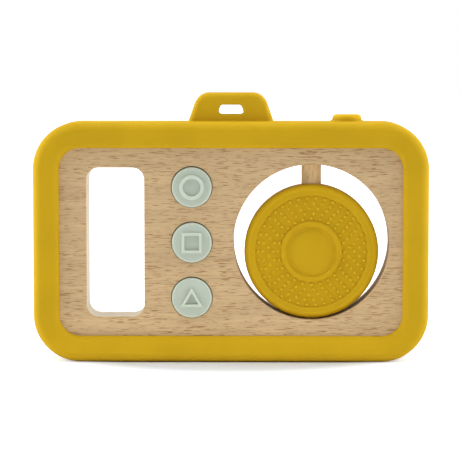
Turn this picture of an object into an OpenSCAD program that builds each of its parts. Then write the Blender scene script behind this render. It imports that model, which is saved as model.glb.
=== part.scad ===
// Toy camera: two beech boards in a soft bumper band, a lens disc that turns and
// slides on a dowel, a shutter button and three push buttons.
// It stands on its band, on the plane Z = 0, and faces -Y.

/* [Body] */
// Width over the bumper band
body_w = 130; // [124:1:150]
// Height over the bumper band, without the strap loop
body_h = 79; // [68:1:95]
// Corner radius of the band's outside
corner_r = 15.5; // [13:0.5:20]

/* [Boards] */
// Thickness of one beech board; two make the body
board_t = 7.5; // [7:0.1:10]
// Chamfer round the window and the lens hole
board_chamfer = 0.6; // [0.3:0.1:1.2]
// Diameter of the pins that line the boards up
pin_d = 5; // [3:0.5:6]
// Length of one pin
pin_len = 9; // [6:0.5:12]
// Pin centre to the boards' rim
pin_inset = 7.5; // [6:0.1:8]

/* [Bumper band] */
// Wall round the boards' rim
band_wall = 4.2; // [3:0.1:6]
// Reach of the lips over the boards' faces
lip_w = 4.4; // [3:0.1:6]
// Thickness of the lips
lip_t = 2.5; // [1.6:0.1:4]
// Round on the band's outer edges
band_round = 3.2; // [2:0.1:5]
// Round on the lips' inner edges
lip_round = 2.4; // [0.6:0.1:2.4]

/* [Strap loop] */
// Width of the loop where it meets the band
loop_w = 28.1; // [24:0.1:36]
// Height of the loop above the band
loop_h = 9.5; // [8.5:0.1:14]
// Thickness of the loop
loop_t = 8; // [6:0.1:10]
// Lean of the loop's sides, in degrees
loop_lean = 19; // [8:1:25]
// Corner radius of the loop's top
loop_corner_r = 5; // [3:0.1:6]
// Round on the loop's edges
loop_round = 1.8; // [0.6:0.1:1.9]
// Width of the strap slot at its foot
slot_w = 8.9; // [6:0.1:12]
// Height of the strap slot
slot_h = 3.1; // [2.4:0.1:4.5]
// Height of the slot's foot above the band
slot_lift = 2.4; // [1:0.1:4]
// Corner radius of the strap slot
slot_r = 1; // [0.4:0.1:1.1]

/* [Shutter button] */
// Diameter of the shutter button
shutter_d = 9.8; // [7:0.1:10]
// Height of the button above the band at rest
shutter_h = 2.3; // [2:0.1:5]
// Place of the button, from the middle of the camera
shutter_x = 38.2; // [26:0.1:46]
// How far the button presses down
shutter_travel = 1.6; // [0.8:0.1:1.9]
// Round on the button's top edge
shutter_round = 1; // [0.4:0.1:1.5]
// Thickness of the flange that keeps the button in
shutter_flange_t = 1.4; // [1:0.1:2]
// Overhang of that flange
shutter_flange_w = 0.8; // [0.6:0.1:1]
// Height of the collar round the button's foot
collar_h = 0.4; // [0.2:0.1:0.6]
// Width of the collar at its foot
collar_w = 0.6; // [0.4:0.1:1]

/* [Viewfinder window] */
// Width of the window
window_w = 18.9; // [12:0.1:20]
// Height of the window
window_h = 49; // [30:0.1:50]
// Corner radius of the window
window_r = 4; // [2:0.1:6]
// Place of the window, from the middle of the camera
window_x = -37.9; // [-40:0.1:-36]

/* [Lens] */
// Diameter of the lens disc
disc_d = 44.2; // [36:0.1:50]
// Play of the disc in the lens hole: the hole is this much wider
lens_play = 7; // [4:0.1:8]
// Place of the lens, from the middle of the camera
lens_x = 26.5; // [25:0.1:28]
// Thickness of the lens disc
disc_t = 12; // [10:0.1:14]
// Round on the disc's rim
disc_round = 3; // [1.5:0.1:3.4]
// Width of the disc's smooth rim
rim_w = 3.6; // [3.2:0.1:5]
// Depth of the field inside the rim
field_depth = 0.8; // [0.3:0.1:1.2]
// Outer diameter of the raised ring in the field
ring_d = 20; // [18:0.1:24]
// Width of the raised ring
ring_w = 1.6; // [1:0.1:2]
// Height of the raised ring above the field
ring_h = 0.7; // [0.3:0.1:1]
// Diameter of the dome in the middle
dome_d = 14; // [10:0.1:15]
// Height of the dome above the field
dome_h = 1.1; // [0.5:0.1:1.5]
// Diameter of the dowel
dowel_d = 6.5; // [5:0.1:8]
// Wood left between the ends of the dowel's sockets and the boards' rim
socket_wall = 1.2; // [0.8:0.1:3]

/* [Push buttons] */
// Diameter of the buttons
button_d = 13.2; // [10:0.1:14]
// Place of the row of buttons, from the middle of the camera
button_x = -12.8; // [-15:0.1:-11]
// Distance from button to button
button_pitch = 18.2; // [17.8:0.1:20]
// Height of a button above the boards' faces at rest
button_proud = 1.2; // [0.6:0.1:2]
// How far a button sinks in its bore under its own weight
button_sag = 0.14; // [0:0.01:0.16]
// Travel of a button, each way from rest
button_travel = 2; // [1:0.1:2.2]
// Round on a button's edges
button_round = 1; // [0.4:0.1:1.5]
// Diameter of the flange that keeps a button in
button_flange_d = 16.4; // [15.4:0.1:17]
// Thickness of that flange
button_flange_t = 3; // [2:0.1:4]
// Height of the raised marks
mark_h = 0.5; // [0.2:0.1:0.8]
// Diameter of the circle mark
circle_mark_d = 8.2; // [6:0.1:9]
// Width of the circle mark's line
circle_mark_line = 1.4; // [0.8:0.1:1.8]
// Width of the square mark
square_mark_w = 6.5; // [5:0.1:7]
// Width of the square mark's line
square_mark_line = 1; // [0.6:0.1:1.4]
// Width of the triangle mark
triangle_mark_w = 7; // [5.5:0.1:8]
// Width of the triangle mark's line
triangle_mark_line = 0.9; // [0.6:0.1:1.1]

/* [Fits] */
// Running clearance on the dowel, all round
dowel_clearance = 0.08; // [0.04:0.01:0.1]
// Clearance round the buttons, all round
button_clearance = 0.22; // [0.18:0.01:0.3]
// Air left between a moving part and its stop
stop_gap = 0.15; // [0.1:0.01:0.3]
// Glue gap round the fixed pieces
glue_gap = 0.04; // [0.02:0.01:0.08]

/* [Hidden] */
$fn = 96;

// The cuts run this far past the faces that they open
past = 1;
// A piece that grows out of another starts this far inside it
root = 1.2;

board_w = body_w - 2 * band_wall;
board_h = body_h - 2 * band_wall;
board_r = corner_r - band_wall;
face_w = band_wall + lip_w;
half_depth = board_t + lip_t;
lip_edge_r = min(lip_round, lip_t - glue_gap);

shutter_bore_d = shutter_d + 2 * button_clearance;
shutter_flange_d = shutter_bore_d + 2 * shutter_flange_w;
shutter_pocket_d = shutter_flange_d + 2 * button_clearance;
shutter_pocket_depth = shutter_flange_t + shutter_travel + 2 * stop_gap;

lens_hole_d = disc_d + lens_play;
socket_len = board_h - 2 * socket_wall;
dowel_len = socket_len - 2 * stop_gap;

// The rim of the disc is flat over this half width, and the hole's wall rises by
// this much over it when the disc stands across the hole
rim_flat = disc_t / 2 - disc_round;
rim_rise = lens_hole_d / 2 - sqrt(pow(lens_hole_d / 2, 2) - pow(rim_flat, 2));
disc_gap = stop_gap + rim_rise;
disc_rest_y = disc_gap - lens_play / 2;

button_len = 2 * (board_t + button_proud);
button_bore_d = button_d + 2 * button_clearance;
button_pocket_d = button_flange_d + 2 * button_clearance;
button_pocket_half = button_flange_t / 2 + button_travel + stop_gap;

beech = [0.78, 0.66, 0.49];
dowel_beech = [0.74, 0.62, 0.44];
mustard = [0.76, 0.61, 0.12];
sage = [0.73, 0.76, 0.69];

// The pieces are drawn face on, X to the right, Y up from the middle of the band and
// Z towards the viewer; this stands them up in the camera's own frame
module stand() {
    translate([0, 0, body_h / 2]) rotate([90, 0, 0]) children();
}

// Turns a shape drawn along Z so that it runs up the face, along Y
module upright() {
    rotate([-90, 0, 0]) children();
}

// Carries a profile round a rectangle w by h with corners of radius r. The profile's
// X runs outwards from the corner centres, and its Y towards the viewer
module around(w, h, r) {
    for (side = [0 : 3]) rotate(90 * side) {
        across = side % 2 == 0 ? w : h;
        along = side % 2 == 0 ? h : w;
        translate([across / 2 - r, 0, 0])
            rotate([90, 0, 0]) linear_extrude(along - 2 * r, center = true) children();
        translate([across / 2 - r, along / 2 - r, 0]) rotate_extrude(angle = 90) children();
    }
}

// A plate or a plug with round corners, from z0 up to z0 + t, whose edge is the child
// profile; the profile has to start at X = 0 and to be t high there
module round_rect(w, h, r, z0, t) {
    translate([-(w / 2 - r), -(h / 2 - r), z0]) cube([w - 2 * r, h - 2 * r, t]);
    around(w, h, r) children();
}

// The profile of a cut of radius r through one board, from its glued face out
// through its outer face, with the chamfer there
module cut_profile(r) {
    polygon([
        [0, -past], [r, -past], [r, board_t - board_chamfer],
        [r + board_chamfer, board_t], [r + board_chamfer, board_t + past], [0, board_t + past]
    ]);
}

module board() {
    difference() {
        round_rect(board_w, board_h, board_r, 0, board_t) square([board_r, board_t]);
        translate([window_x, 0, 0])
            round_rect(window_w, window_h, window_r, -past, board_t + 2 * past)
                cut_profile(window_r);
        translate([lens_x, 0, 0]) rotate_extrude() cut_profile(lens_hole_d / 2);
        dowel_socket();
        for (place = [-1 : 1]) translate([button_x, place * button_pitch, 0]) {
            translate([0, 0, -past]) cylinder(d = button_bore_d, h = board_t + 2 * past);
            translate([0, 0, -past]) cylinder(d = button_pocket_d, h = button_pocket_half + past);
        }
        shutter_pocket();
        pins(pin_d + 2 * glue_gap, pin_len + 2 * stop_gap);
    }
}

module dowel_socket() {
    translate([lens_x, 0, 0]) upright()
        cylinder(d = dowel_d + 2 * dowel_clearance, h = socket_len, center = true);
}

module shutter_pocket() {
    translate([shutter_x, board_h / 2 - shutter_pocket_depth, 0]) upright()
        cylinder(d = shutter_pocket_d, h = shutter_pocket_depth + past);
}

module pins(d, len) {
    for (sx = [-1, 1], sy = [-1, 1])
        translate([sx * (board_w / 2 - pin_inset), sy * (board_h / 2 - pin_inset), 0])
            cylinder(d = d, h = len, center = true);
}

module front_board() {
    color(beech) stand() board();
}

module back_board() {
    color(beech) stand() mirror([0, 0, 1]) board();
}

module locating_pins() {
    color(dowel_beech) stand() pins(pin_d, pin_len);
}

// Section of the band, X outwards from the lips' inner edge: a block with round
// edges and a channel for the rim of the boards
module band_section() {
    difference() {
        union() {
            translate([lip_edge_r, -half_depth])
                square([face_w - lip_edge_r - band_round, 2 * half_depth]);
            translate([0, -(half_depth - lip_edge_r)])
                square([face_w - band_round, 2 * (half_depth - lip_edge_r)]);
            translate([lip_edge_r, -(half_depth - band_round)])
                square([face_w - lip_edge_r, 2 * (half_depth - band_round)]);
            for (side = [-1, 1]) {
                translate([lip_edge_r, side * (half_depth - lip_edge_r)]) circle(lip_edge_r);
                translate([face_w - band_round, side * (half_depth - band_round)]) circle(band_round);
            }
        }
        translate([-past, -(board_t + glue_gap)])
            square([lip_w + glue_gap + past, 2 * (board_t + glue_gap)]);
    }
}

// The loop's sides lean in. Its round corners have their centres at (loop_cx, loop_cy)
// from the top of the band, and its sides reach down to its feet, below it
loop_cy = loop_h - loop_corner_r;
loop_cx = loop_w / 2 - loop_cy * tan(loop_lean) - loop_corner_r / cos(loop_lean);
loop_side = (loop_cy + root) / cos(loop_lean) + loop_corner_r * tan(loop_lean);

// One of the loop's four round edges: the round of its corner, and its foot, which
// narrows inwards so that only its end shapes the loop
module loop_edge(side, face) {
    inner = loop_corner_r - loop_round;
    mirror([side, 0, 0]) translate([loop_cx, loop_cy, face * (loop_t / 2 - loop_round)])
        rotate([0, 0, loop_lean]) {
            rotate_extrude(angle = 90 - loop_lean, $fn = 60)
                translate([inner, 0]) circle(loop_round, $fn = 28);
            translate([inner, -loop_side, 0]) rotate([-90, 0, 0])
                cylinder(r1 = loop_round, r2 = loop_round / 2, h = root / 2, $fn = 28);
        }
}

module strap_slot() {
    foot = slot_w / 2 - slot_r;
    top = foot - (slot_h - 2 * slot_r) * tan(loop_lean);
    hull() for (side = [-1, 1]) {
        translate([side * foot, slot_lift + slot_r, 0])
            cylinder(r = slot_r, h = loop_t + 2 * past, center = true, $fn = 32);
        translate([side * top, slot_lift + slot_h - slot_r, 0])
            cylinder(r = slot_r, h = loop_t + 2 * past, center = true, $fn = 32);
    }
}

// The loop, drawn from the top of the band. Its feet start below and are cut flat where
// they meet the band
module strap_loop() {
    color(mustard) stand() translate([0, body_h / 2, 0]) difference() {
        hull() for (side = [0, 1], face = [-1, 1]) loop_edge(side, face);
        strap_slot();
        translate([-loop_w, -loop_h, -loop_t]) cube([2 * loop_w, loop_h, 2 * loop_t]);
    }
}

module bumper_band() {
    inner_r = corner_r - face_w;
    color(mustard) stand() difference() {
        union() {
            around(body_w, body_h, corner_r) translate([inner_r, 0]) band_section();
            translate([shutter_x, body_h / 2 - root, 0]) upright() collar();
        }
        translate([shutter_x, body_h / 2 - band_wall - past, 0]) upright()
            cylinder(d = shutter_bore_d, h = band_wall + collar_h + 2 * past);
    }
}

// Low collar that the shutter button comes out of
module collar() {
    foot_d = shutter_bore_d + 2 * collar_w;
    cylinder(d = foot_d, h = root);
    translate([0, 0, root]) cylinder(d1 = foot_d, d2 = shutter_bore_d + collar_w, h = collar_h);
}

module shutter_button() {
    foot = -(band_wall + stop_gap + shutter_flange_t);
    round_z = shutter_h - shutter_round;
    color(mustard) stand() translate([shutter_x, body_h / 2, 0]) upright() rotate_extrude() {
        translate([0, foot]) square([shutter_d / 2, round_z - foot]);
        translate([0, foot]) square([shutter_flange_d / 2, shutter_flange_t]);
        translate([0, round_z]) square([shutter_d / 2 - shutter_round, shutter_round]);
        intersection() {
            translate([shutter_d / 2 - shutter_round, round_z]) circle(shutter_round);
            translate([0, foot]) square([shutter_d / 2, shutter_h - foot]);
        }
    }
}

module lens_dowel() {
    color(dowel_beech) stand() translate([lens_x, 0, 0]) upright()
        cylinder(d = dowel_d, h = dowel_len, center = true);
}

// Half section of the lens disc: a round rim, a field sunk inside it, a raised ring
// and a dome, alike on both faces
module disc_section() {
    field_half = disc_t / 2 - field_depth;
    rim_inner = disc_d / 2 - rim_w;
    dome_r = (pow(dome_d / 2, 2) + pow(dome_h, 2)) / (2 * dome_h);
    translate([0, -field_half]) square([disc_d / 2 - disc_round, 2 * field_half]);
    translate([rim_inner, -disc_t / 2]) square([rim_w - disc_round, disc_t]);
    translate([rim_inner, -rim_flat]) square([rim_w, 2 * rim_flat]);
    for (side = [-1, 1]) {
        translate([disc_d / 2 - disc_round, side * rim_flat]) circle(disc_round);
        translate([ring_d / 2 - ring_w, side > 0 ? 0 : -(field_half + ring_h)])
            square([ring_w, field_half + ring_h]);
        intersection() {
            translate([0, side * (field_half + dome_h - dome_r)]) circle(dome_r);
            translate([0, side > 0 ? 0 : -disc_t]) square([dome_d / 2, disc_t]);
        }
    }
}

module lens_disc() {
    color(mustard) stand() translate([lens_x, disc_rest_y, 0]) difference() {
        rotate_extrude() disc_section();
        upright() cylinder(d = dowel_d + 2 * dowel_clearance, h = disc_d + 2 * past, center = true);
    }
}

// A push button that reaches through both boards, with its mark on both faces; the
// child is the mark's outline. Row 1 is the top button and row -1 the lowest
module push_button(row) {
    flat = button_len / 2 - button_round;
    color(sage) stand() translate([button_x, row * button_pitch - button_sag, 0]) {
        rotate_extrude() {
            translate([0, -flat]) square([button_d / 2, 2 * flat]);
            translate([0, -button_len / 2]) square([button_d / 2 - button_round, button_len]);
            translate([0, -button_flange_t / 2]) square([button_flange_d / 2, button_flange_t]);
            for (side = [-1, 1])
                translate([button_d / 2 - button_round, side * flat]) circle(button_round);
        }
        for (side = [0, 1]) rotate([0, 180 * side, 0])
            translate([0, 0, flat]) linear_extrude(button_round + mark_h) children();
    }
}

module circle_button() {
    push_button(1) difference() {
        circle(d = circle_mark_d);
        circle(d = circle_mark_d - 2 * circle_mark_line);
    }
}

module square_button() {
    push_button(0) difference() {
        square(square_mark_w, center = true);
        square(square_mark_w - 2 * square_mark_line, center = true);
    }
}

// The triangle has equal sides and stands with its height's middle on the button's
module triangle_button() {
    outer_r = triangle_mark_w / sqrt(3);
    push_button(-1) translate([0, -outer_r / 4]) rotate(90) difference() {
        circle(outer_r, $fn = 3);
        circle(outer_r - 2 * triangle_mark_line, $fn = 3);
    }
}

front_board();
back_board();
locating_pins();
bumper_band();
strap_loop();
shutter_button();
lens_dowel();
lens_disc();
circle_button();
square_button();
triangle_button();
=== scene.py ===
"""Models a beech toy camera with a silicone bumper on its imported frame, and sets up its studio."""

import math

import bmesh
import bpy
from bpy.props import FloatProperty, FloatVectorProperty, IntProperty, PointerProperty
from mathutils import Matrix, Vector


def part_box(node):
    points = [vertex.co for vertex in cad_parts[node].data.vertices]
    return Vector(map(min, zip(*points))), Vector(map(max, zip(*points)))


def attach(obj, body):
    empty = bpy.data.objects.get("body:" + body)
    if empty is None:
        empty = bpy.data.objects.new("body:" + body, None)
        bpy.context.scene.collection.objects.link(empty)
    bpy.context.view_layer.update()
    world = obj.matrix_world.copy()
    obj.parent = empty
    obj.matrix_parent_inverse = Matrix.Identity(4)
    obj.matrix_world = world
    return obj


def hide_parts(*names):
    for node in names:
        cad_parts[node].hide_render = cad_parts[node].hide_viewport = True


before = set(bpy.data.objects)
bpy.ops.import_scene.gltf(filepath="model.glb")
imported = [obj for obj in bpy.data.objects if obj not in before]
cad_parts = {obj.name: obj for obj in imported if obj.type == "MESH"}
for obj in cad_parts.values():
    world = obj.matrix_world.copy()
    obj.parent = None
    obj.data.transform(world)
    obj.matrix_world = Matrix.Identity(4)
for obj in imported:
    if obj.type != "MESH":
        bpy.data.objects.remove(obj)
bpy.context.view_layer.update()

bl_info = {
    "name": "Toy Camera",
    "version": (1, 0, 0),
    "blender": (4, 5, 0),
    "location": "View3D > Sidebar > Toy Camera",
    "description": "A beech toy camera with a silicone bumper, modelled on its packed frame",
    "category": "Add Mesh",
}


# Places and sizes that the frame gives

def middle(node):
    """Centre of a node's box."""
    low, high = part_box(node)
    return (low + high) / 2


def span(node):
    """Width, depth and height of a node's box."""
    low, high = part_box(node)
    return high - low


BOARD = span("front_board")
BAND = span("bumper_band")
BAND_WALL = (BAND.x - BOARD.x) / 2
BAND_TOP = BOARD.z + 2 * BAND_WALL
FRONT_BUTTONS = {
    "circle_button": "circle_push",
    "square_button": "square_push",
    "triangle_button": "triangle_push",
}

# Face-on drawings have X across, Y up from the boards' middle and Z towards the viewer
STAND = Matrix.Translation((0, 0, middle("front_board").z)) @ Matrix.Rotation(math.pi / 2, 4, "X")


def face_on(node):
    """Centre of a node in a face-on drawing."""
    return STAND.inverted() @ middle(node)


# Values that all the pieces share

# Points closer than this are one
NEAR = 1e-6

# How far a cut reaches past what it cuts
PAST = 0.001

# Edges that bend by more than this stay sharp
SHARP = math.radians(38)

# Steps in a full turn
LENS_STEPS = 160
BUTTON_STEPS = 96
POST_STEPS = 64
PIN_STEPS = 48

# Steps in a rounding, and the size that parts fine ones from large ones
FINE_ROUND = 0.0008
FINE_STEPS = 4
LARGE_STEPS = 10


# Settings

def length(name, description, default):
    """A length in metres."""
    return FloatProperty(name=name, description=description, default=default, precision=5, unit="LENGTH")


def position(name, description, default):
    """A place in metres."""
    return FloatVectorProperty(
        name=name, description=description, default=default, precision=4, subtype="TRANSLATION"
    )


def share(name, description, default):
    """A share from 0 to 1."""
    return FloatProperty(
        name=name, description=description, default=default, min=0, max=1, subtype="FACTOR"
    )


def brightness(name, description, default):
    """A strength of light."""
    return FloatProperty(name=name, description=description, default=default, min=0)


def watts(name, description, default):
    """A lamp's power."""
    return FloatProperty(
        name=name, description=description, default=default, min=0, precision=4, unit="POWER"
    )


def tint(name, description, default):
    """A linear colour."""
    return FloatVectorProperty(
        name=name, description=description, default=default, size=3, min=0, max=1, subtype="COLOR"
    )


class BoardSizes(bpy.types.PropertyGroup):
    """The two beech boards and what is cut into them."""

    corner_round: length("Corner round", "Radius of the boards' corners", 0.0113)
    edge_round: length("Edge round", "Rounding of the window's and the lens hole's edges", 0.0003)
    bore_round: length("Bore round", "Rounding of the button bores' edges", 0.0001)
    window_x: length("Window place", "Middle of the window, across", -0.0379)
    window_width: length("Window width", "Width of the window", 0.0189)
    window_height: length("Window height", "Height of the window", 0.049)
    window_round: length("Window round", "Radius of the window's corners", 0.004)
    lens_hole: length("Lens hole", "Diameter of the lens hole", 0.0512)
    bore_gap: length("Bore gap", "Air round a button in its bore", 0.00022)
    button_sag: length("Button sag", "How far the buttons hang below the middle of their bores", 0.00014)
    button_pocket: length("Button pocket", "Depth of the button flange's pocket in each board", 0.00365)
    shutter_pocket: length("Shutter pocket", "Depth of the shutter flange's pocket", 0.0033)
    socket_wall: length("Socket wall", "Wood left above and below the dowel's sockets", 0.0012)
    socket_gap: length("Socket gap", "Air round the dowel in its sockets", 0.00008)
    pin_width: length("Pin width", "Diameter of the locating pins", 0.005)
    pin_gap: length("Pin gap", "Glue gap round the locating pins", 0.00004)
    pin_end_gap: length("Pin end gap", "Air at each end of the locating pins", 0.00015)


class BandSizes(bpy.types.PropertyGroup):
    """The silicone band round the boards, with its strap loop."""

    corner_round: length("Corner round", "Radius of the band's outer corners", 0.0155)
    lip_width: length("Lip width", "How far the lips reach over the wood", 0.0044)
    outer_round: length("Outer round", "Rounding of the band's outer edges", 0.0032)
    lip_round: length("Lip round", "Rounding of the lips' inner edges", 0.0024)
    foot_round: length("Foot round", "Rounding of the lips where they meet the wood", 0.0002)
    glue_gap: length("Glue gap", "Gap between the band and the wood", 0.00004)
    loop_lean: FloatProperty(
        name="Loop lean", description="Lean of the loop's sides", default=math.radians(19), unit="ROTATION"
    )
    loop_corner: length("Loop corner", "Radius of the loop's top corners", 0.005)
    loop_round: length("Loop round", "Rounding of the loop's edges", 0.0018)
    loop_fillet: length("Loop fillet", "Rounding where the loop grows out of the band", 0.0004)
    slot_width: length("Slot width", "Width of the strap slot at its foot", 0.0089)
    slot_height: length("Slot height", "Height of the strap slot", 0.0031)
    slot_lift: length("Slot lift", "Height of the strap slot above the band", 0.0024)
    slot_corner: length("Slot corner", "Radius of the strap slot's corners", 0.001)
    slot_round: length("Slot round", "Rounding of the strap slot's edges", 0.0005)
    collar_width: length("Collar width", "Width of the collar round the shutter button", 0.0004)
    collar_height: length("Collar height", "Height of the collar round the shutter button", 0.0004)


class ShutterSizes(bpy.types.PropertyGroup):
    """The silicone shutter button."""

    width: length("Width", "Diameter of the button", 0.0098)
    draft: length("Draft", "How much narrower the button is at its top", 0.0005)
    top_round: length("Top round", "Rounding of the button's top edge", 0.001)
    flange: length("Flange", "Thickness of the flange that holds the button in", 0.0014)
    flange_round: length("Flange round", "Rounding of the flange's edges", 0.0002)


class LensSizes(bpy.types.PropertyGroup):
    """The silicone lens disc and the dowel it turns on."""

    rim_depth: length("Rim depth", "Thickness of the disc at its rim", 0.012)
    rim_width: length("Rim width", "Width of the smooth rim", 0.0036)
    rim_round: length("Rim round", "Rounding of the rim's outer edges", 0.0022)
    rim_inner_round: length("Rim inner round", "Rounding of the rim's inner edges", 0.0005)
    # Painted highlight on the rim's outer edges
    rim_highlight: share("Rim tone", "How much of the raised tone the rim's outer edges take", 0.75)
    field_depth: length("Field depth", "How far the beaded field lies below the rim", 0.0006)
    field_round: length("Field round", "Rounding where the field meets the rim", 0.0003)
    ring_width: length("Ring width", "Outer diameter of the raised ring", 0.02)
    ring_line: length("Ring line", "Breadth of the raised ring", 0.0016)
    ring_height: length("Ring height", "Height of the raised ring", 0.0007)
    ring_round: length("Ring round", "Rounding of the raised ring's edges", 0.0004)
    ring_foot: length("Ring foot", "Rounding where the raised ring meets the field", 0.0002)
    dome_width: length("Dome width", "Diameter of the dome", 0.014)
    dome_height: length("Dome height", "Height of the dome", 0.0011)
    dome_foot: length("Dome foot", "Rounding where the dome meets the field", 0.0004)
    bead_rows: IntProperty(
        name="Bead rows", description="Rings of beads on the field", default=5, min=1, max=6
    )
    bead_pitch: length("Bead pitch", "Distance from bead to bead", 0.0029)
    bead_width: length("Bead width", "Diameter of a bead", 0.0012)
    bead_height: length("Bead height", "Height of a bead", 0.00055)
    bore_gap: length("Bore gap", "Air round the dowel in the disc", 0.00008)
    dowel_round: length("Dowel round", "Rounding of the dowel's ends", 0.0005)


class ButtonSizes(bpy.types.PropertyGroup):
    """The three silicone push buttons."""

    width: length("Width", "Diameter of a button", 0.0132)
    edge_round: length("Edge round", "Rounding of a button's edges", 0.001)
    # Painted highlight round a button's edges
    edge_highlight: share("Edge tone", "How much of the raised tone a button's edges take", 0.8)
    flange: length("Flange", "Thickness of the flange between the boards", 0.003)
    flange_round: length("Flange round", "Rounding of the flange's edges", 0.0003)
    mark_height: length("Mark height", "Height of the raised marks", 0.0009)
    mark_round: length("Mark round", "Rounding of the raised marks", 0.0002)
    mark_corner: length("Mark corner", "Rounding of the raised marks' corners", 0.0004)
    circle_width: length("Circle width", "Outer diameter of the circle mark", 0.0082)
    circle_line: length("Circle line", "Breadth of the circle mark's line", 0.0012)
    square_width: length("Square width", "Outer width of the square mark", 0.0067)
    square_line: length("Square line", "Breadth of the square mark's line", 0.00095)
    triangle_width: length("Triangle width", "Outer side of the triangle mark", 0.0073)
    triangle_line: length("Triangle line", "Breadth of the triangle mark's line", 0.00085)
    triangle_drop: share("Triangle drop", "How low the triangle mark sits, by its outer radius", 2 / 11)


class Finishes(bpy.types.PropertyGroup):
    """Colours of the wood and the silicone."""

    beech: tint("Beech", "Bare wood of the boards", (0.575, 0.408, 0.221))
    # Painted light: the dowel's beech is lighter than the boards' beech, for the light that reaches it
    # from behind through the lens hole
    dowel_beech: tint("Dowel beech", "Bare wood of the dowel and the pins", (0.78, 0.57, 0.3))
    # The window's cut edges are paler partly by their smooth cut wood and partly by painted light from
    # behind the window
    lit_cut_beech: tint("Cut beech", "Smooth cut edges of the window", (0.82, 0.77, 0.66))
    lit_cut_share: share("Cut share", "How far the window's cut edges take on their own colour", 0.75)
    fleck: tint("Fleck", "Short dark flecks in the boards", (0.31, 0.16, 0.062))
    dowel_fleck: tint("Dowel fleck", "Short flecks in the dowel and the pins", (0.5, 0.31, 0.14))
    mustard: tint("Mustard", "Silicone of the band, the lens disc and the shutter", (0.535, 0.334, 0.01))
    sage: tint("Sage", "Silicone of the push buttons", (0.47, 0.533, 0.452))


class StudioSettings(bpy.types.PropertyGroup):
    """Camera, floor and light."""

    camera_place: position("Camera place", "Where the camera stands", (0.0101, -0.7905, 0.1045))
    camera_aim: position("Camera aim", "What the camera looks at", (-0.00025, -0.0075, 0.04355))
    camera_lens: FloatProperty(
        name="Camera lens", description="Focal length in millimetres on a 36 mm sensor", default=187.3
    )
    floor: tint("Floor", "Colour of the floor", (0.88, 0.88, 0.89))
    floor_seen: tint("Floor seen", "Colour of the floor that the camera sees", (0.585, 0.61, 0.64))
    around: brightness("Light around", "Light from the sides and from above", 1.08)
    ahead: brightness("Light ahead", "Light from the front and the back", 0.18)
    left_power: watts("Left power", "Power of the left lamp", 7.6)
    right_power: watts("Right power", "Power of the right lamp", 6.8)
    top_power: watts("Top power", "Power of the top lamp", 5)
    foot_power: watts("Foot power", "Power of the lamp on the floor in front", 0.0045)


# Shapes

def whole(bm):
    """All the geometry of a drawing."""
    return bm.verts[:] + bm.edges[:] + bm.faces[:]


def only(kind, geometry):
    """The vertices, edges or faces among the geometry."""
    return [part for part in geometry if isinstance(part, kind)]


def bevel(bm, geometry, size, steps, affect="EDGES"):
    """Rounds edges or corners."""
    bmesh.ops.bevel(
        bm, geom=geometry, offset=size, offset_type="OFFSET", segments=steps, profile=0.5, affect=affect,
        material=-1
    )


def round_corners(bm, corners, roundings):
    """Rounds the corners of a section, each by its own size."""
    for corner, rounding in zip(corners, roundings):
        if rounding:
            steps = FINE_STEPS if rounding < FINE_ROUND else LARGE_STEPS
            bevel(bm, [corner], rounding, steps, "VERTICES")


def spin(bm, geometry, angle, steps, centre=(0, 0, 0), **options):
    """Spins geometry about an axis along Z."""
    return bmesh.ops.spin(
        bm, geom=geometry, cent=centre, axis=(0, 0, 1), dvec=(0, 0, 0), angle=angle, steps=steps, **options
    )


def tidy(bm):
    """Closes the seams and turns the faces outwards."""
    bmesh.ops.remove_doubles(bm, verts=bm.verts[:], dist=NEAR)
    bmesh.ops.recalc_face_normals(bm, faces=bm.faces[:])
    return bm


def move(bm, matrix):
    """Moves a whole drawing."""
    bmesh.ops.transform(bm, matrix=matrix, verts=bm.verts[:])
    return bm


def rounded_outline(bm, x, width, height, corner, steps):
    """Edges of a rectangle with round corners."""
    grid = bmesh.ops.create_grid(
        bm, x_segments=1, y_segments=1, size=0.5,
        matrix=Matrix.Translation((x, 0, 0)) @ Matrix.Diagonal((width, height, 1, 1))
    )
    known = set(bm.faces) - {face for vert in grid["verts"] for face in vert.link_faces}
    bevel(bm, grid["verts"], corner, steps, "VERTICES")
    face = next(face for face in bm.faces if face not in known)
    edges = list(face.edges)
    bmesh.ops.delete(bm, geom=[face], context="FACES_ONLY")
    return edges


def round_outline(bm, x, y, radius, steps):
    """Edges of a circle."""
    place = Matrix.Translation((x, y, 0))
    circle = bmesh.ops.create_circle(bm, segments=steps, radius=radius, matrix=place)
    return list(dict.fromkeys(edge for vert in circle["verts"] for edge in vert.link_edges))


def thicken(bm, faces, depth):
    """Makes flat faces a closed plate."""
    grown = bmesh.ops.extrude_face_region(bm, geom=faces, use_keep_orig=True)["geom"]
    bmesh.ops.translate(bm, verts=only(bmesh.types.BMVert, grown), vec=(0, 0, depth))
    bmesh.ops.recalc_face_normals(bm, faces=bm.faces[:])


def rim_above(edge):
    """The edge across the wall that stands on an outline's edge."""
    wall = next(face for face in edge.link_faces if abs(face.normal.z) < 0.5)
    return next(other for other in wall.edges if not set(other.verts) & set(edge.verts))


def creases(bm, test, angle=0.6):
    """Edges that bend by more than an angle and pass a test."""
    return [edge for edge in bm.edges if edge.calc_face_angle(0) > angle and test(edge)]


def at_height(height):
    """Test for edges that lie at a height."""
    return lambda edge: all(abs(vert.co.z - height) < NEAR for vert in edge.verts)


def rise(edge):
    """How far an edge climbs."""
    return abs(edge.verts[0].co.z - edge.verts[1].co.z)


def turned(section, steps):
    """Spins a section about Z. Its corners are radius, height and rounding, from axis to axis."""
    bm = bmesh.new()
    corners = [bm.verts.new((radius, 0, height)) for radius, height, _ in section]
    for start, end in zip(corners, corners[1:]):
        bm.edges.new((start, end))
    round_corners(bm, corners, [rounding for _, _, rounding in section])
    spin(bm, whole(bm), 2 * math.pi, steps, use_merge=True)
    return tidy(bm)


def mirrored(half):
    """A section and its mirror image below the middle."""
    return half + [(radius, -height, rounding) for radius, height, rounding in reversed(half)]


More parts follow.
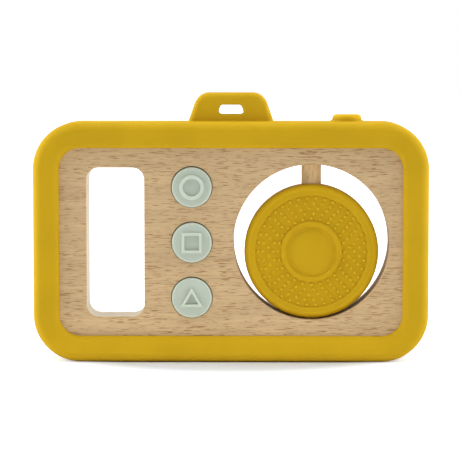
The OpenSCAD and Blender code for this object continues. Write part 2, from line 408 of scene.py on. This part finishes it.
def add_post(bm, x, y, low, high, radius, steps=POST_STEPS):
    """Adds a closed round post along Z."""
    bmesh.ops.create_cone(
        bm, cap_ends=True, segments=steps, radius1=radius, radius2=radius, depth=high - low,
        matrix=Matrix.Translation((x, y, (low + high) / 2))
    )


def blank(bm, name):
    """Makes an object of a drawing."""
    mesh = bpy.data.meshes.new(name)
    bm.to_mesh(mesh)
    bm.free()
    piece = bpy.data.objects.new(name, mesh)
    bpy.context.scene.collection.objects.link(piece)
    return piece


def join(piece, bm, how):
    """Joins a closed drawing to a piece, or cuts it out."""
    tool = blank(bm, "tool")
    step = piece.modifiers.new("join", "BOOLEAN")
    step.object = tool
    step.operation = how
    step.solver = "EXACT"
    mesh = bpy.data.meshes.new_from_object(piece.evaluated_get(bpy.context.evaluated_depsgraph_get()))
    piece.modifiers.clear()
    bpy.data.meshes.remove(tool.data)
    plain = piece.data
    piece.data = mesh
    mesh.name = piece.name
    bpy.data.meshes.remove(plain)


def rework(piece, change):
    """Changes a piece's mesh with operators."""
    bm = bmesh.new()
    bm.from_mesh(piece.data)
    change(bm)
    bm.to_mesh(piece.data)
    bm.free()


def from_middle(point, centre):
    """Distance of a point from a centre, seen face-on."""
    return math.hypot(point.x - centre.x, point.z - centre.z)


def note_painted_highlight(piece, height):
    """Keeps how far each point stands out, from 0 to 1, as the level of a painted highlight that a finish
    can find.
    """
    raised = piece.data.attributes.new("raised", "FLOAT", "POINT")
    raised.data.foreach_set("value", [min(max(height(vert.co), 0), 1) for vert in piece.data.vertices])


def dress(piece, body, slot, material, *nodes):
    """Shades a finished piece and puts it on its body in place of its nodes."""
    mesh = piece.data
    mesh.materials.clear()
    mesh.materials.append(material)
    mesh.shade_smooth()
    mesh.set_sharp_from_angle(angle=SHARP)
    piece.modifiers.new("flat faces", "WEIGHTED_NORMAL").keep_sharp = True
    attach(piece, body)
    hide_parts(*nodes)


# Finishes

# The window's cut edges lie left of the first of these places, and the round openings right of the second;
# only the window's edges take the paler cut wood with its painted light
WINDOW_LIMITS = (-0.026, -0.023)

WHITE = (1, 1, 1, 1)


def shader(name):
    """A new material, its nodes and its surface."""
    material = bpy.data.materials.new(name)
    material.use_nodes = True
    return material, material.node_tree, material.node_tree.nodes["Principled BSDF"]


def fit(tree, made, sockets):
    """Links or sets a node's sockets."""
    for key, value in sockets.items():
        if isinstance(value, bpy.types.NodeSocket):
            tree.links.new(value, made.inputs[key])
        else:
            made.inputs[key].default_value = value


def node(tree, kind, sockets, **settings):
    """Adds a node, with its sockets linked or set."""
    made = tree.nodes.new("ShaderNode" + kind)
    for key, value in settings.items():
        setattr(made, key, value)
    fit(tree, made, sockets)
    return made


def coordinates(tree, kind):
    """Texture coordinates of a kind."""
    return node(tree, "TexCoord", {}).outputs[kind]


def part_along(tree, vector, axis):
    """A vector's part along X, Y or Z."""
    return node(tree, "SeparateXYZ", {0: vector}).outputs[axis]


def reckon(tree, operation, first, second=0.0):
    """Reckons with one or two numbers."""
    return node(tree, "Math", {0: first, 1: second}, operation=operation).outputs["Value"]


def reckon_vectors(tree, operation, first, second):
    """Reckons with two vectors."""
    return node(tree, "VectorMath", {0: first, 1: second}, operation=operation).outputs["Vector"]


def noise(tree, place, scale, detail, output="Fac"):
    """Cloudy values from 0 to 1."""
    return node(tree, "TexNoise", {"Vector": place, "Scale": scale, "Detail": detail}).outputs[output]


def ramp(tree, value, low, high, bottom=0.0, top=1.0):
    """Spreads a range of values over another, smoothly."""
    limits = {0: value, 1: low, 2: high, 3: bottom, 4: top}
    return node(tree, "MapRange", limits, interpolation_type="SMOOTHSTEP").outputs["Result"]


def blend_tints(tree, portion, first, second):
    """Mixes two colours, with a portion of the second."""
    sockets = {"Factor": portion}
    for key, colour in ((6, first), (7, second)):
        sockets[key] = colour if isinstance(colour, bpy.types.NodeSocket) else (*colour, 1)
    return node(tree, "Mix", sockets, data_type="RGBA").outputs[2]


def bumped(tree, height, strength, distance):
    """Normals of a fine relief."""
    sockets = {"Strength": strength, "Distance": distance, "Height": height}
    return node(tree, "Bump", sockets).outputs["Normal"]


def shade(colour, level):
    """A colour made lighter or darker."""
    return tuple(min(1, part * level) for part in colour)


def beech_finish(name, colour, fleck, turn, cut=None, lit_cut_share=0.0):
    """Sanded beech with its grain along X, turned to lie along the piece."""
    material, tree, surface = shader(name)
    place = coordinates(tree, "Object")
    along = node(tree, "Mapping", {"Vector": place, "Rotation": turn}).outputs["Vector"]
    drift = reckon_vectors(tree, "SUBTRACT", noise(tree, along, 45, 1, "Color"), (0.5, 0.5, 0.5))
    sway = reckon_vectors(tree, "MULTIPLY", drift, (0, 0.0012, 0.0012))
    grain = reckon_vectors(tree, "ADD", along, sway)

    def streaks(across, lengthwise, detail):
        """Noise drawn out along the grain."""
        drawn = node(tree, "Mapping", {"Vector": grain, "Scale": (lengthwise, across, across)})
        return noise(tree, drawn.outputs["Vector"], 1, detail)

    layers = streaks(150, 9, 2)
    fibres = streaks(1900, 60, 3)
    pores = streaks(3700, 270, 2)
    flecks = ramp(tree, pores, 0.56, 0.66, 0.0, 0.9)

    board = blend_tints(tree, ramp(tree, layers, 0.3, 0.7), shade(colour, 0.93), shade(colour, 1.08))
    streaked = blend_tints(tree, ramp(tree, fibres, 0.38, 0.66, 0.0, 0.6), board, shade(colour, 0.8))
    toned = blend_tints(tree, flecks, streaked, fleck)
    # The window's cut edges turn paler: partly their own smooth cut wood, partly painted light from behind
    # the window
    if cut:
        flat = reckon(tree, "ABSOLUTE", part_along(tree, coordinates(tree, "Normal"), "Y"))
        edges = ramp(tree, flat, 0.3, 0.7, 1.0, 0.0)
        window = ramp(tree, part_along(tree, place, "X"), *WINDOW_LIMITS, lit_cut_share, 0.0)
        toned = blend_tints(tree, reckon(tree, "MULTIPLY", edges, window), toned, cut)
    fit(tree, surface, {
        "Base Color": toned,
        "Roughness": ramp(tree, fibres, 0.3, 0.7, 0.56, 0.7),
        "IOR": 1.45,
        "Specular IOR Level": 0.2,
        "Normal": bumped(tree, reckon(tree, "SUBTRACT", fibres, flecks), 0.22, 0.00008),
    })
    return material


def silicone_finish(name, colour, glow, depth):
    """Matt moulded silicone with a fine mould texture, with a painted highlight where it stands out."""
    material, tree, surface = shader(name)
    place = coordinates(tree, "Object")
    clouds = noise(tree, place, 70, 3)
    mould = noise(tree, place, 2600, 2)
    toned = blend_tints(tree, ramp(tree, clouds, 0.3, 0.7), shade(colour, 0.965), shade(colour, 1.03))
    # The raised attribute paints a highlight: points that stand out are painted paler, as if they caught
    # more light
    raised = node(tree, "Attribute", {}, attribute_name="raised").outputs["Fac"]
    fit(tree, surface, {
        "Base Color": blend_tints(tree, ramp(tree, raised, 0.2, 1.0), toned, shade(colour, 1.16)),
        "Roughness": ramp(tree, mould, 0.3, 0.7, 0.52, 0.64),
        "IOR": 1.41,
        "Specular IOR Level": 0.07,
        "Subsurface Weight": depth,
        "Subsurface Radius": glow,
        "Subsurface Scale": 0.0015,
        "Normal": bumped(tree, mould, 0.12, 0.00004),
    })
    return material


def finish(name):
    """The material of a finish, made when it is first asked for."""
    made = bpy.data.materials.get(name)
    if made:
        return made
    tints = bpy.context.scene.toy_finishes
    if name == "sanded beech":
        return beech_finish(name, tints.beech, tints.fleck, (0, 0, 0), tints.lit_cut_beech, tints.lit_cut_share)
    if name == "turned beech":
        # The dowel takes its lighter beech, painted light from behind the lens hole
        return beech_finish(name, tints.dowel_beech, tints.dowel_fleck, (0, math.pi / 2, 0))
    if name == "mustard moulding":
        return silicone_finish(name, tints.mustard, (1.0, 0.5, 0.06), 0.1)
    return silicone_finish(name, tints.sage, (1.0, 0.95, 0.8), 0.03)


# Pieces

def board_plate(sizes):
    """One board face-on, its glued face at height 0, with its openings."""
    bm = bmesh.new()
    outline = rounded_outline(bm, 0, BOARD.x, BOARD.z, sizes.corner_round, 24)
    opening = rounded_outline(
        bm, sizes.window_x, sizes.window_width, sizes.window_height, sizes.window_round, 12
    )
    opening += round_outline(bm, face_on("lens_disc").x, 0, sizes.lens_hole / 2, LENS_STEPS)
    radius = bpy.context.scene.toy_buttons.width / 2 + sizes.bore_gap
    bores = []
    for button in FRONT_BUTTONS:
        place = face_on(button)
        bores += round_outline(bm, place.x, place.y + sizes.button_sag, radius, POST_STEPS)
    face = bmesh.ops.triangle_fill(bm, use_beauty=True, edges=outline + opening + bores, normal=(0, 0, 1))
    thicken(bm, only(bmesh.types.BMFace, face["geom"]), BOARD.y)
    bore_rims = [rim_above(edge) for edge in bores]
    bevel(bm, [rim_above(edge) for edge in opening], sizes.edge_round, 5)
    bevel(bm, bore_rims, sizes.bore_round, 3)
    return bm


def board_cuts(sizes):
    """Pockets, sockets and pin holes between the boards, where they lie in the toy."""
    bm = bmesh.new()
    depth = sizes.button_pocket
    for button in FRONT_BUTTONS:
        place = face_on(button)
        radius = span(button).x / 2 + sizes.bore_gap
        add_post(bm, place.x, place.y + sizes.button_sag, -depth, depth, radius, BUTTON_STEPS)
    pins = span("locating_pins")
    across = (pins.x - sizes.pin_width) / 2
    up = (pins.z - sizes.pin_width) / 2
    end = pins.y / 2 + sizes.pin_end_gap
    for x in (-across, across):
        for y in (-up, up):
            add_post(bm, x, y, -end, end, sizes.pin_width / 2 + sizes.pin_gap, PIN_STEPS)
    move(bm, STAND)
    low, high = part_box("front_board")
    dowel = middle("lens_dowel")
    socket = span("lens_dowel").x / 2 + sizes.socket_gap
    add_post(bm, dowel.x, dowel.y, low.z + sizes.socket_wall, high.z - sizes.socket_wall, socket)
    shutter = middle("shutter_button")
    pocket = span("shutter_button").x / 2 + sizes.bore_gap
    add_post(bm, shutter.x, shutter.y, high.z - sizes.shutter_pocket, high.z + PAST, pocket)
    return bm


class TOYCAMERA_OT_boards(bpy.types.Operator):
    """Model the two beech boards and finish the pins between them"""

    bl_idname = "toy_camera.boards"
    bl_label = "Boards"

    def execute(self, context):
        sizes = context.scene.toy_boards
        for name, side in (("front_board", 1), ("back_board", -1)):
            bm = move(board_plate(sizes), STAND @ Matrix.Diagonal((1, 1, side, 1)))
            board = blank(tidy(bm), "beech_" + name)
            join(board, board_cuts(sizes), "DIFFERENCE")
            dress(board, "camera_body", "beech", finish("sanded beech"), name)
        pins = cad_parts["locating_pins"]
        pins.data.materials.clear()
        pins.data.materials.append(finish("turned beech"))
        return {"FINISHED"}


def band_ring(sizes):
    """The band's section swept round the boards, face-on."""
    half = Vector((BAND.x / 2, BAND_TOP / 2, 0))
    depth = BAND.y / 2
    wall = half.x - BAND_WALL - sizes.glue_gap
    lip = half.x - BAND_WALL - sizes.lip_width
    inside = BOARD.y + sizes.glue_gap
    corners = [Vector((x, y, 0)) for x, y in ((1, 1), (-1, 1), (-1, -1), (1, -1))]
    turns = [(half - Vector((1, 1, 0)) * sizes.corner_round) * corner for corner in corners]
    bm = bmesh.new()
    profile = [(half.x, depth), (lip, depth), (lip, inside), (wall, inside)]
    profile += [(x, -z) for x, z in reversed(profile)]
    rounds = [sizes.outer_round, sizes.lip_round, sizes.foot_round, 0]
    verts = [bm.verts.new((x, turns[3].y, z)) for x, z in profile]
    for start, end in zip(verts, verts[1:] + verts[:1]):
        bm.edges.new((start, end))
    round_corners(bm, verts, rounds + rounds[::-1])
    section = bm.edges[:]
    for start, corner in zip(turns[3:] + turns, turns):
        grown = bmesh.ops.extrude_edge_only(bm, edges=section)["geom"]
        verts = only(bmesh.types.BMVert, grown)
        bmesh.ops.translate(bm, verts=verts, vec=corner - start)
        section = [edge for edge in only(bmesh.types.BMEdge, grown) if set(edge.verts) <= set(verts)]
        swept = spin(bm, verts + section, math.pi / 2, 24, corner)
        section = only(bmesh.types.BMEdge, swept["geom_last"])
    return tidy(bm)


def add_loop_face(bm, foot, low, high, lean, corner, steps, both):
    """Adds a leaning four-sided face with round corners at its top, and at its foot too if both."""
    top = foot - (high - low) * math.tan(lean)
    verts = [bm.verts.new((x, y, 0)) for x, y in ((-foot, low), (foot, low), (top, high), (-top, high))]
    bm.faces.new(verts)
    bevel(bm, verts[2:], corner / math.tan((math.pi / 2 + lean) / 2), steps, "VERTICES")
    if both:
        bevel(bm, verts[:2], corner / math.tan((math.pi / 2 - lean) / 2), steps, "VERTICES")


def strap_loop(sizes):
    """The strap loop face-on, its foot sunk into the band."""
    tall = span("strap_loop")
    sink = 0.0012
    bm = bmesh.new()
    foot = tall.x / 2 + sink * math.tan(sizes.loop_lean)
    add_loop_face(bm, foot, -sink, tall.z, sizes.loop_lean, sizes.loop_corner, 12, False)
    thicken(bm, bm.faces[:], tall.y)
    bmesh.ops.translate(bm, verts=bm.verts[:], vec=(0, 0, -tall.y / 2))

    def outer_edge(edge):
        """True on the edges of the two faces, but not along the sunk foot."""
        return rise(edge) < NEAR and max(vert.co.y for vert in edge.verts) > 0

    bevel(bm, creases(bm, outer_edge), sizes.loop_round, 8)
    return move(bm, Matrix.Translation((0, BAND_TOP / 2, 0)))


def strap_slot(sizes):
    """What is cut out of the strap loop, face-on."""
    low = sizes.slot_lift
    high = low + sizes.slot_height
    bm = bmesh.new()
    add_loop_face(bm, sizes.slot_width / 2, low, high, sizes.loop_lean, sizes.slot_corner, 8, True)
    thicken(bm, bm.faces[:], 2 * BAND.y)
    return move(bm, Matrix.Translation((0, BAND_TOP / 2, -BAND.y)))


def slotted_loop(sizes):
    """The strap loop with its slot, where it lies in the toy."""
    loop = blank(move(strap_loop(sizes), STAND), "loop")
    join(loop, tidy(move(strap_slot(sizes), STAND)), "DIFFERENCE")
    half = span("strap_loop").y / 2

    def slot_rim(edge):
        """True on the slot's edges in the loop's two faces."""
        return all(abs(abs(vert.co.y) - half) < NEAR for vert in edge.verts)

    bm = bmesh.new()
    bm.from_mesh(loop.data)
    bpy.data.meshes.remove(loop.data)
    bevel(bm, creases(bm, slot_rim, 1.2), sizes.slot_round, 4)
    return bm


class TOYCAMERA_OT_band(bpy.types.Operator):
    """Model the silicone band with its strap loop and the shutter's collar"""

    bl_idname = "toy_camera.band"
    bl_label = "Band"

    def execute(self, context):
        sizes = context.scene.toy_band
        band = blank(move(band_ring(sizes), STAND), "silicone_band")
        join(band, slotted_loop(sizes), "UNION")
        rework(band, lambda bm: bevel(bm, creases(bm, at_height(BAND_TOP)), sizes.loop_fillet, 5))
        shutter = middle("shutter_button")
        bore = context.scene.toy_shutter.width / 2 + context.scene.toy_boards.bore_gap
        collar = bmesh.new()
        bmesh.ops.create_cone(
            collar, cap_ends=True, segments=POST_STEPS, radius1=bore + 2 * sizes.collar_width,
            radius2=bore + sizes.collar_width / 2, depth=3 * sizes.collar_height,
            matrix=Matrix.Translation((shutter.x, shutter.y, BAND_TOP - sizes.collar_height / 2))
        )
        join(band, collar, "UNION")
        hole = bmesh.new()
        add_post(hole, shutter.x, shutter.y, BAND_TOP - 2 * BAND_WALL, BAND_TOP + BAND_WALL, bore)
        join(band, hole, "DIFFERENCE")
        silicone = finish("mustard moulding")
        dress(band, "camera_body", "mustard_silicone", silicone, "bumper_band", "strap_loop")
        return {"FINISHED"}


class TOYCAMERA_OT_shutter(bpy.types.Operator):
    """Model the silicone shutter button"""

    bl_idname = "toy_camera.shutter"
    bl_label = "Shutter Button"

    def execute(self, context):
        sizes = context.scene.toy_shutter
        low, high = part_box("shutter_button")
        radius = sizes.width / 2
        flange = (high.x - low.x) / 2
        flange_top = low.z + sizes.flange
        bm = turned([
            (0, high.z, 0), (radius - sizes.draft / 2, high.z, sizes.top_round), (radius, BAND_TOP, 0),
            (radius, flange_top, 0), (flange, flange_top, sizes.flange_round),
            (flange, low.z, sizes.flange_round), (0, low.z, 0)
        ], BUTTON_STEPS)
        place = middle("shutter_button")
        button = blank(move(bm, Matrix.Translation((place.x, place.y, 0))), "silicone_shutter_button")
        # Painted highlight: the button's top above the band is painted paler
        note_painted_highlight(button, lambda point: (point.z - BAND_TOP) / sizes.top_round)
        dress(button, "shutter", "mustard_silicone", finish("mustard moulding"), "shutter_button")
        return {"FINISHED"}


def bead(sizes):
    """One small bead, cut off a little below the field it stands on."""
    sunk = 0.15
    bm = bmesh.new()
    bmesh.ops.create_uvsphere(bm, u_segments=10, v_segments=6, radius=1)
    cut = bmesh.ops.bisect_plane(
        bm, geom=whole(bm), plane_co=(0, 0, -sunk), plane_no=(0, 0, 1), clear_inner=True
    )
    bmesh.ops.holes_fill(bm, edges=only(bmesh.types.BMEdge, cut["geom_cut"]), sides=0)
    move(bm, Matrix.Diagonal((sizes.bead_width / 2, sizes.bead_width / 2, sizes.bead_height, 1)))
    return blank(tidy(bm), "bead").data


def bead_rings(sizes):
    """Rings of beads on both faces of the lens disc, every other one a half step on."""
    shape = bead(sizes)
    inner = sizes.ring_width / 2
    gap = (span("lens_disc").x / 2 - sizes.rim_width - inner) / sizes.bead_rows
    field = sizes.rim_depth / 2 - sizes.field_depth
    rings = bmesh.new()
    for row in range(sizes.bead_rows):
        track = inner + gap * (row + 0.5)
        count = round(2 * math.pi * track / sizes.bead_pitch)
        step = 2 * math.pi / count
        for turn in (0, math.pi):
            bm = bmesh.new()
            bm.from_mesh(shape)
            place = Matrix.Rotation(step * (row % 2) / 2, 4, "Z") @ Matrix.Translation((track, 0, field))
            move(bm, Matrix.Rotation(turn, 4, "Y") @ place)
            spin(bm, whole(bm), step * (count - 1), count - 1, use_duplicate=True)
            ring = bpy.data.meshes.new("ring")
            bm.to_mesh(ring)
            bm.free()
            rings.from_mesh(ring)
            bpy.data.meshes.remove(ring)
    bpy.data.meshes.remove(shape)
    return rings


def lens_disc(sizes):
    """The lens disc with its bore and its beads."""
    radius = span("lens_disc").x / 2
    rim = sizes.rim_depth / 2
    rim_edge = radius - sizes.rim_width
    field = rim - sizes.field_depth
    ring = sizes.ring_width / 2
    ring_edge = ring - sizes.ring_line
    ring_top = field + sizes.ring_height
    dome_top = field + sizes.dome_height
    lean = 2 * math.atan2(sizes.dome_height, sizes.dome_width / 2)
    crown = sizes.dome_height / math.sin(lean)
    # The crown's rounding stops just short of the axis
    crown_round = 0.98 * crown
    bm = turned(mirrored([
        (0, dome_top, 0), (crown, dome_top, crown_round), (sizes.dome_width / 2, field, sizes.dome_foot),
        (ring_edge, field, sizes.ring_foot), (ring_edge, ring_top, sizes.ring_round),
        (ring, ring_top, sizes.ring_round), (ring, field, sizes.ring_foot),
        (rim_edge, field, sizes.field_round), (rim_edge, rim, sizes.rim_inner_round),
        (radius, rim, sizes.rim_round)
    ]), LENS_STEPS)
    place = Matrix.Translation(face_on("lens_disc"))
    disc = blank(move(bm, place), "silicone_lens_disc")
    bore = bmesh.new()
    add_post(bore, 0, 0, -radius - PAST, radius + PAST, span("lens_dowel").x / 2 + sizes.bore_gap)
    join(disc, move(bore, place @ Matrix.Rotation(math.pi / 2, 4, "X")), "DIFFERENCE")
    beads = move(bead_rings(sizes), place)
    beads.from_mesh(disc.data)
    move(beads, STAND)
    beads.to_mesh(disc.data)
    beads.free()
    centre = middle("lens_disc")
    clear = 0.0001

    # Painted highlight on the disc: the beads' tops and the rim's outer edges are painted paler
    def highlight_level(point):
        """Painted highlight: full on the tops of the beads, with the rim's share of it on its outer edges.
        """
        track = from_middle(point, centre)
        if track > radius - sizes.rim_round:
            return sizes.rim_highlight
        beaded = ring + clear < track < rim_edge - clear
        return (abs(point.y) - field) / sizes.bead_height if beaded else 0

    note_painted_highlight(disc, highlight_level)
    return disc


class TOYCAMERA_OT_lens(bpy.types.Operator):
    """Model the silicone lens disc and its beech dowel"""

    bl_idname = "toy_camera.lens"
    bl_label = "Lens Disc and Dowel"

    def execute(self, context):
        sizes = context.scene.toy_lens
        disc = lens_disc(sizes)
        dress(disc, "lens", "mustard_silicone", finish("mustard moulding"), "lens_disc")
        low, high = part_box("lens_dowel")
        radius = (high.x - low.x) / 2
        bm = turned([
            (0, high.z, 0), (radius, high.z, sizes.dowel_round), (radius, low.z, sizes.dowel_round),
            (0, low.z, 0)
        ], POST_STEPS)
        place = middle("lens_dowel")
        post = blank(move(bm, Matrix.Translation((place.x, place.y, 0))), "beech_lens_dowel")
        dress(post, "dowel", "dowel_beech", finish("turned beech"), "lens_dowel")
        return {"FINISHED"}


def raised_mark(sizes, sides, radius, line, place):
    """A closed outline that stands up from a button's face, sunk a little into it."""
    sink = 0.0003
    top = sizes.mark_height + sink
    bm = bmesh.new()
    bmesh.ops.create_circle(bm, cap_ends=True, segments=sides, radius=radius, matrix=place)
    face = bm.faces[:]
    bmesh.ops.inset_individual(bm, faces=face, thickness=line, use_even_offset=True)
    bmesh.ops.delete(bm, geom=face, context="FACES")
    thicken(bm, bm.faces[:], top)
    bevel(bm, creases(bm, lambda edge: rise(edge) > sizes.mark_height), sizes.mark_corner, 4)
    bevel(bm, creases(bm, at_height(top)), sizes.mark_round, 4)
    return move(tidy(bm), Matrix.Translation((0, 0, -sink)))


def push_button(sizes, name, mark):
    """A push button with its mark on both faces."""
    radius = sizes.width / 2
    face = span(name).y / 2 - sizes.mark_height
    bm = turned(mirrored([
        (0, face, 0), (radius, face, sizes.edge_round), (radius, sizes.flange / 2, 0),
        (span(name).x / 2, sizes.flange / 2, sizes.flange_round)
    ]), BUTTON_STEPS)
    button = blank(bm, "silicone_" + name)
    for turn in (0, math.pi):
        place = Matrix.Rotation(turn, 4, "Y") @ Matrix.Translation((0, 0, face))
        join(button, move(raised_mark(sizes, *mark), place), "UNION")
    rework(button, lambda bm: move(bm, STAND @ Matrix.Translation(face_on(name))))
    centre = middle(name)

    # Painted highlight on the button: the mark's top and the face's edge are painted paler
    def highlight_level(point):
        """Painted highlight: full on the top of the mark, with the edge's share of it round the face."""
        if from_middle(point, centre) > radius - sizes.edge_round / 2:
            return sizes.edge_highlight
        return (abs(point.y) - face) / sizes.mark_height

    note_painted_highlight(button, highlight_level)
    return button


class TOYCAMERA_OT_buttons(bpy.types.Operator):
    """Model the three silicone push buttons"""

    bl_idname = "toy_camera.buttons"
    bl_label = "Push Buttons"

    def execute(self, context):
        sizes = context.scene.toy_buttons
        square = sizes.square_width / math.sqrt(2)
        triangle = sizes.triangle_width / math.sqrt(3)
        eighth_turn = Matrix.Rotation(math.pi / 4, 4, "Z")
        drop = Matrix.Translation((0, -triangle * sizes.triangle_drop, 0))
        marks = {
            "circle_button": (72, sizes.circle_width / 2, sizes.circle_line, Matrix.Identity(4)),
            "square_button": (4, square, sizes.square_line, eighth_turn),
            "triangle_button": (3, triangle, sizes.triangle_line, drop),
        }
        for name, body in FRONT_BUTTONS.items():
            button = push_button(sizes, name, marks[name])
            dress(button, body, "sage_silicone", finish("sage moulding"), name)
        return {"FINISHED"}


# Studio

# Where each lamp stands, what it points at, its width and its height
LAMPS = {
    "left": ((-0.9, 0.05, 0.35), (0, 0, 0.04), 0.8, 0.8),
    "right": ((0.9, 0.05, 0.35), (0, 0, 0.04), 0.8, 0.8),
    "top": ((0, -0.1, 1.1), (0, 0, 0.04), 0.9, 0.9),
    "foot": ((0, -0.025, 0.0005), (0, -0.025, 1), 0.12, 0.026),
}

# The patch of floor that keeps its shadow is an ellipse, 1 over these in half width and half depth,
# and it fades to white between these shares of them
PATCH_SCALE = (14, 20, 0)
PATCH_FADE = (0.5, 1.05)


def stand_at(name, data, place, aim):
    """Stands a lamp or a camera in the scene, turned to its aim."""
    stand = bpy.data.objects.new(name, data)
    stand.location = place
    stand.rotation_euler = (Vector(aim) - Vector(place)).to_track_quat("-Z", "Y").to_euler()
    bpy.context.scene.collection.objects.link(stand)
    return stand


def softbox(name, place, aim, width, height, power):
    """A soft lamp that the camera doesn't see."""
    lamp = bpy.data.lights.new(name, "AREA")
    lamp.shape = "RECTANGLE"
    lamp.size = width
    lamp.size_y = height
    lamp.energy = power
    stand_at(name, lamp, place, aim).visible_camera = False


def seen_rays(tree):
    """1 for rays that show the backdrop: the camera's, and those mirrored or let through."""
    ray = node(tree, "LightPath", {}).outputs
    seen = reckon(tree, "MAXIMUM", ray["Is Camera Ray"], ray["Is Glossy Ray"])
    return reckon(tree, "MAXIMUM", seen, ray["Is Transmission Ray"])


def floor_finish(settings):
    """A pale floor that keeps the shadow by the toy's foot and runs out to white."""
    material, tree, surface = shader("studio floor")
    seen = seen_rays(tree)
    scaled = node(tree, "Mapping", {"Vector": coordinates(tree, "Object"), "Scale": PATCH_SCALE})
    away = node(tree, "VectorMath", {0: scaled.outputs["Vector"]}, operation="LENGTH").outputs["Value"]
    fit(tree, surface, {
        "Base Color": blend_tints(tree, seen, settings.floor, settings.floor_seen),
        "Roughness": 0.9,
        "Specular IOR Level": 0.1,
        "Emission Color": WHITE,
        "Emission Strength": reckon(tree, "MULTIPLY", seen, ramp(tree, away, *PATCH_FADE)),
    })
    return material


def studio_world(settings):
    """Light from all round, softer ahead, in front of a white backdrop."""
    world = bpy.data.worlds.new("studio")
    world.use_nodes = True
    tree = world.node_tree
    ahead = reckon(tree, "ABSOLUTE", part_along(tree, coordinates(tree, "Generated"), "Y"))
    light = tree.nodes["Background"]
    strength = ramp(tree, ahead, 0.2, 0.9, settings.around, settings.ahead)
    fit(tree, light, {"Color": WHITE, "Strength": strength})
    backdrop = node(tree, "Background", {"Color": WHITE, "Strength": 1.0})
    mix = node(tree, "MixShader", {0: seen_rays(tree), 1: light.outputs[0], 2: backdrop.outputs[0]})
    fit(tree, tree.nodes["World Output"], {"Surface": mix.outputs[0]})
    bpy.context.scene.world = world


class TOYCAMERA_OT_studio(bpy.types.Operator):
    """Set up the camera, the floor and the lamps"""

    bl_idname = "toy_camera.studio"
    bl_label = "Studio"

    def execute(self, context):
        settings = context.scene.toy_studio
        view = bpy.data.cameras.new("camera")
        view.lens = settings.camera_lens
        view.sensor_width = 36
        view.clip_end = 50
        context.scene.camera = stand_at("camera", view, settings.camera_place, settings.camera_aim)

        bm = bmesh.new()
        bmesh.ops.create_grid(bm, x_segments=1, y_segments=1, size=4)
        floor = blank(bm, "floor")
        floor.data.materials.append(floor_finish(settings))

        for name, (place, aim, width, height) in LAMPS.items():
            softbox(name + " lamp", place, aim, width, height, getattr(settings, name + "_power"))
        studio_world(settings)
        context.scene.view_settings.view_transform = "Standard"
        return {"FINISHED"}


class TOYCAMERA_PT_workshop(bpy.types.Panel):
    """Settings and operators of the toy camera"""

    bl_idname = "TOYCAMERA_PT_workshop"
    bl_label = "Toy Camera"
    bl_space_type = "VIEW_3D"
    bl_region_type = "UI"
    bl_category = "Toy Camera"

    def draw(self, context):
        for key, group, operator in GROUPS:
            box = self.layout.box()
            if operator:
                box.operator(operator.bl_idname)
            for setting in group.__annotations__:
                box.prop(getattr(context.scene, key), setting)


GROUPS = (
    ("toy_finishes", Finishes, None),
    ("toy_boards", BoardSizes, TOYCAMERA_OT_boards),
    ("toy_band", BandSizes, TOYCAMERA_OT_band),
    ("toy_shutter", ShutterSizes, TOYCAMERA_OT_shutter),
    ("toy_lens", LensSizes, TOYCAMERA_OT_lens),
    ("toy_buttons", ButtonSizes, TOYCAMERA_OT_buttons),
    ("toy_studio", StudioSettings, TOYCAMERA_OT_studio),
)


def register():
    """Registers the settings, the operators and the panel."""
    for key, group, operator in GROUPS:
        bpy.utils.register_class(group)
        setattr(bpy.types.Scene, key, PointerProperty(type=group))
        if operator:
            bpy.utils.register_class(operator)
    bpy.utils.register_class(TOYCAMERA_PT_workshop)


def unregister():
    """Removes what register adds."""
    bpy.utils.unregister_class(TOYCAMERA_PT_workshop)
    for key, group, operator in reversed(GROUPS):
        if operator:
            bpy.utils.unregister_class(operator)
        delattr(bpy.types.Scene, key)
        bpy.utils.unregister_class(group)


def main():
    """Builds the toy camera and its studio."""
    register()
    bpy.ops.toy_camera.boards()
    bpy.ops.toy_camera.band()
    bpy.ops.toy_camera.shutter()
    bpy.ops.toy_camera.lens()
    bpy.ops.toy_camera.buttons()
    bpy.ops.toy_camera.studio()


if __name__ == "__main__":
    main()
